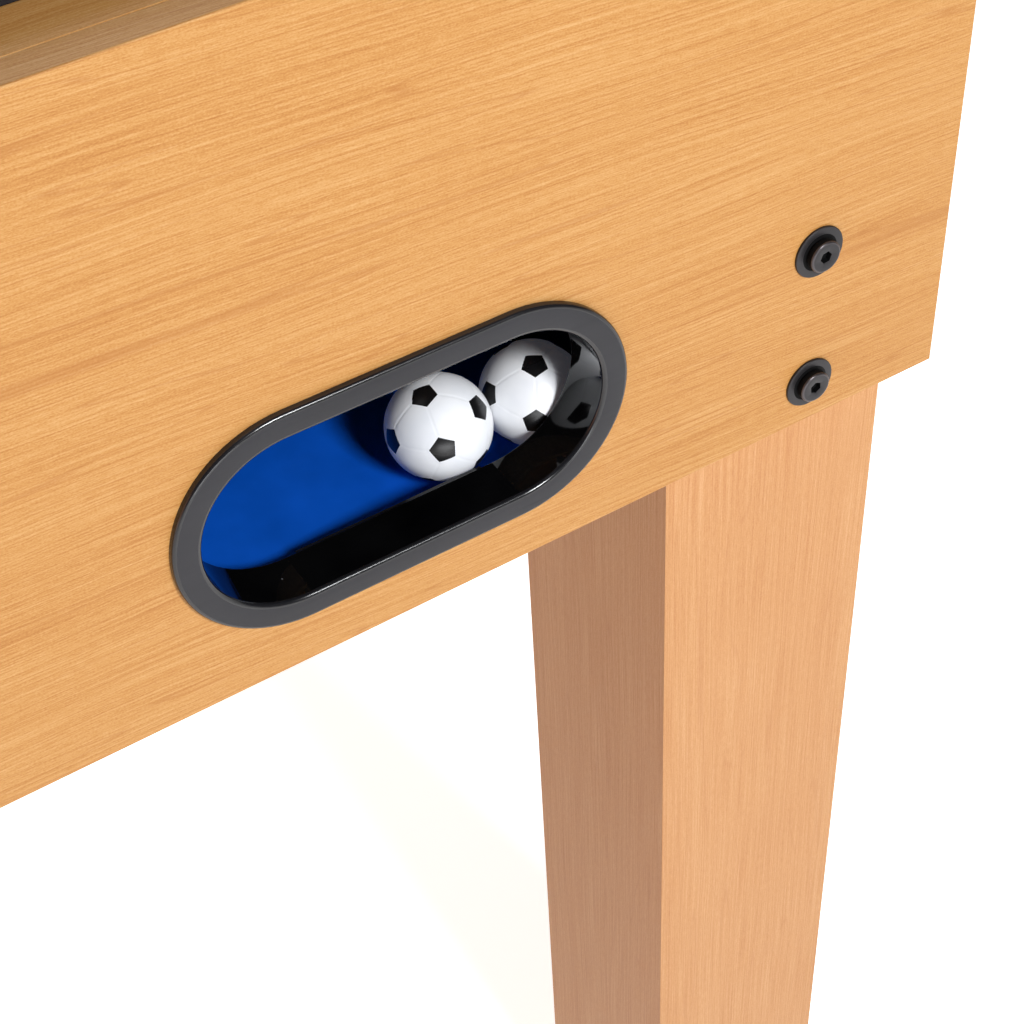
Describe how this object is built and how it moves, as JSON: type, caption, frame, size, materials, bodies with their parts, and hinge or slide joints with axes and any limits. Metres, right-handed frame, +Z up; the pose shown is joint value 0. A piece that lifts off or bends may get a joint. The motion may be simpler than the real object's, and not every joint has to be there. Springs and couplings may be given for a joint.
{
  "type": "foosball table",
  "caption": "Home foosball table in light wood laminate with sliding, spinning player rods, an oval ball-return mouth in each end panel and slide score counters.",
  "frame": {"origin": "on the floor, in the middle of the table's outline", "axes": "+Z up, +Y along the table from the near goal to the far one, X across it along the rods"},
  "size_m": [1.1006, 1.2196, 0.825],
  "materials": {
    "maple_laminate": "light maple wood-grain laminate, satin, pores along the board",
    "raw_board": "unfaced particle board, matt",
    "playfield_print": "printed green board with white lines, satin",
    "black_plastic": "moulded black, satin face and polished inner wall",
    "black_rubber": "black moulded rubber grip, satin",
    "blue_plastic": "blue moulded tray, fine matt texture",
    "black_steel": "black-oxide steel, satin",
    "near_rod_set": "chromed tube with red moulded players",
    "far_rod_set": "chromed tube with blue moulded players",
    "near_team_plastic": "red moulded plastic, semi-gloss",
    "far_team_plastic": "blue moulded plastic, semi-gloss",
    "white_ball_plastic": "white moulded ball with black pentagons, gloss"
  },
  "bodies": {
    "cabinet": {"right_side_panel": "maple_laminate", "left_side_panel": "maple_laminate", "playfield": "playfield_print", "playfield_support_beam": "raw_board", "near_end_panel": "maple_laminate", "near_goal_wall": "maple_laminate", "near_cover_board": "maple_laminate", "near_ball_return_trim": "black_plastic", "near_ball_tray": "blue_plastic", "near_scorer_rail": "black_plastic", "near_left_leg": "maple_laminate", "near_left_upper_bolt": "black_steel", "near_left_lower_bolt": "black_steel", "near_right_leg": "maple_laminate", "near_right_upper_bolt": "black_steel", "near_right_lower_bolt": "black_steel", "far_end_panel": "maple_laminate", "far_goal_wall": "maple_laminate", "far_cover_board": "maple_laminate", "far_ball_return_trim": "black_plastic", "far_ball_tray": "blue_plastic", "far_scorer_rail": "black_plastic", "far_left_leg": "maple_laminate", "far_left_upper_bolt": "black_steel", "far_left_lower_bolt": "black_steel", "far_right_leg": "maple_laminate", "far_right_upper_bolt": "black_steel", "far_right_lower_bolt": "black_steel"},
    "near_left_levelling_foot": {"near_left_levelling_foot": "black_plastic"},
    "near_right_levelling_foot": {"near_right_levelling_foot": "black_plastic"},
    "near_scorer_marker": {"near_scorer_marker": "near_team_plastic"},
    "far_left_levelling_foot": {"far_left_levelling_foot": "black_plastic"},
    "far_right_levelling_foot": {"far_right_levelling_foot": "black_plastic"},
    "far_scorer_marker": {"far_scorer_marker": "far_team_plastic"},
    "near_goalie_bearing": {"near_goalie_bearing": "black_plastic"},
    "near_goalie_rod": {"near_goalie_rod_with_players": "near_rod_set", "near_goalie_handle": "black_rubber"},
    "near_defence_bearing": {"near_defence_bearing": "black_plastic"},
    "near_defence_rod": {"near_defence_rod_with_players": "near_rod_set", "near_defence_handle": "black_rubber"},
    "far_attack_bearing": {"far_attack_bearing": "black_plastic"},
    "far_attack_rod": {"far_attack_rod_with_players": "far_rod_set", "far_attack_handle": "black_rubber"},
    "near_midfield_bearing": {"near_midfield_bearing": "black_plastic"},
    "near_midfield_rod": {"near_midfield_rod_with_players": "near_rod_set", "near_midfield_handle": "black_rubber"},
    "far_midfield_bearing": {"far_midfield_bearing": "black_plastic"},
    "far_midfield_rod": {"far_midfield_rod_with_players": "far_rod_set", "far_midfield_handle": "black_rubber"},
    "near_attack_bearing": {"near_attack_bearing": "black_plastic"},
    "near_attack_rod": {"near_attack_rod_with_players": "near_rod_set", "near_attack_handle": "black_rubber"},
    "far_defence_bearing": {"far_defence_bearing": "black_plastic"},
    "far_defence_rod": {"far_defence_rod_with_players": "far_rod_set", "far_defence_handle": "black_rubber"},
    "far_goalie_bearing": {"far_goalie_bearing": "black_plastic"},
    "far_goalie_rod": {"far_goalie_rod_with_players": "far_rod_set", "far_goalie_handle": "black_rubber"},
    "left_ball": {"left_ball": "white_ball_plastic"},
    "right_ball": {"right_ball": "white_ball_plastic"}
  },
  "joints": [
    {"name": "near_left_levelling_foot_height", "type": "slide", "parent": "cabinet", "child": "near_left_levelling_foot", "axis": [0, 0, -1], "range_m": [0, 0.01]},
    {"name": "near_right_levelling_foot_height", "type": "slide", "parent": "cabinet", "child": "near_right_levelling_foot", "axis": [0, 0, -1], "range_m": [0, 0.01]},
    {"name": "near_scorer_marker_slide", "type": "slide", "parent": "cabinet", "child": "near_scorer_marker", "axis": [1, 0, 0], "range_m": [0, 0.2]},
    {"name": "far_left_levelling_foot_height", "type": "slide", "parent": "cabinet", "child": "far_left_levelling_foot", "axis": [0, 0, -1], "range_m": [0, 0.01]},
    {"name": "far_right_levelling_foot_height", "type": "slide", "parent": "cabinet", "child": "far_right_levelling_foot", "axis": [0, 0, -1], "range_m": [0, 0.01]},
    {"name": "far_scorer_marker_slide", "type": "slide", "parent": "cabinet", "child": "far_scorer_marker", "axis": [-1, 0, 0], "range_m": [0, 0.2]},
    {"name": "near_goalie_spin", "type": "hinge", "parent": "cabinet", "child": "near_goalie_bearing", "pos_m": [0, -0.4585, 0.767], "axis": [1, 0, 0], "continuous": true},
    {"name": "near_goalie_slide", "type": "slide", "parent": "near_goalie_bearing", "child": "near_goalie_rod", "axis": [1, 0, 0], "range_m": [-0.065, 0.065]},
    {"name": "near_defence_spin", "type": "hinge", "parent": "cabinet", "child": "near_defence_bearing", "pos_m": [0, -0.3275, 0.767], "axis": [1, 0, 0], "continuous": true},
    {"name": "near_defence_slide", "type": "slide", "parent": "near_defence_bearing", "child": "near_defence_rod", "axis": [1, 0, 0], "range_m": [-0.125, 0.125]},
    {"name": "far_attack_spin", "type": "hinge", "parent": "cabinet", "child": "far_attack_bearing", "pos_m": [0, -0.1965, 0.767], "axis": [1, 0, 0], "continuous": true},
    {"name": "far_attack_slide", "type": "slide", "parent": "far_attack_bearing", "child": "far_attack_rod", "axis": [1, 0, 0], "range_m": [-0.09, 0.09]},
    {"name": "near_midfield_spin", "type": "hinge", "parent": "cabinet", "child": "near_midfield_bearing", "pos_m": [0, -0.0655, 0.767], "axis": [1, 0, 0], "continuous": true},
    {"name": "near_midfield_slide", "type": "slide", "parent": "near_midfield_bearing", "child": "near_midfield_rod", "axis": [1, 0, 0], "range_m": [-0.047, 0.047]},
    {"name": "far_midfield_spin", "type": "hinge", "parent": "cabinet", "child": "far_midfield_bearing", "pos_m": [0, 0.0655, 0.767], "axis": [1, 0, 0], "continuous": true},
    {"name": "far_midfield_slide", "type": "slide", "parent": "far_midfield_bearing", "child": "far_midfield_rod", "axis": [1, 0, 0], "range_m": [-0.047, 0.047]},
    {"name": "near_attack_spin", "type": "hinge", "parent": "cabinet", "child": "near_attack_bearing", "pos_m": [0, 0.1965, 0.767], "axis": [1, 0, 0], "continuous": true},
    {"name": "near_attack_slide", "type": "slide", "parent": "near_attack_bearing", "child": "near_attack_rod", "axis": [1, 0, 0], "range_m": [-0.09, 0.09]},
    {"name": "far_defence_spin", "type": "hinge", "parent": "cabinet", "child": "far_defence_bearing", "pos_m": [0, 0.3275, 0.767], "axis": [1, 0, 0], "continuous": true},
    {"name": "far_defence_slide", "type": "slide", "parent": "far_defence_bearing", "child": "far_defence_rod", "axis": [1, 0, 0], "range_m": [-0.125, 0.125]},
    {"name": "far_goalie_spin", "type": "hinge", "parent": "cabinet", "child": "far_goalie_bearing", "pos_m": [0, 0.4585, 0.767], "axis": [1, 0, 0], "continuous": true},
    {"name": "far_goalie_slide", "type": "slide", "parent": "far_goalie_bearing", "child": "far_goalie_rod", "axis": [1, 0, 0], "range_m": [-0.065, 0.065]},
    {"name": "left_ball_roll", "type": "slide", "parent": "cabinet", "child": "left_ball", "axis": [0.9956, 0, -0.0936], "range_m": [-0.2, 0]},
    {"name": "right_ball_roll", "type": "slide", "parent": "cabinet", "child": "right_ball", "axis": [0, 1, 0], "range_m": [0, 0.05]}
  ]
}
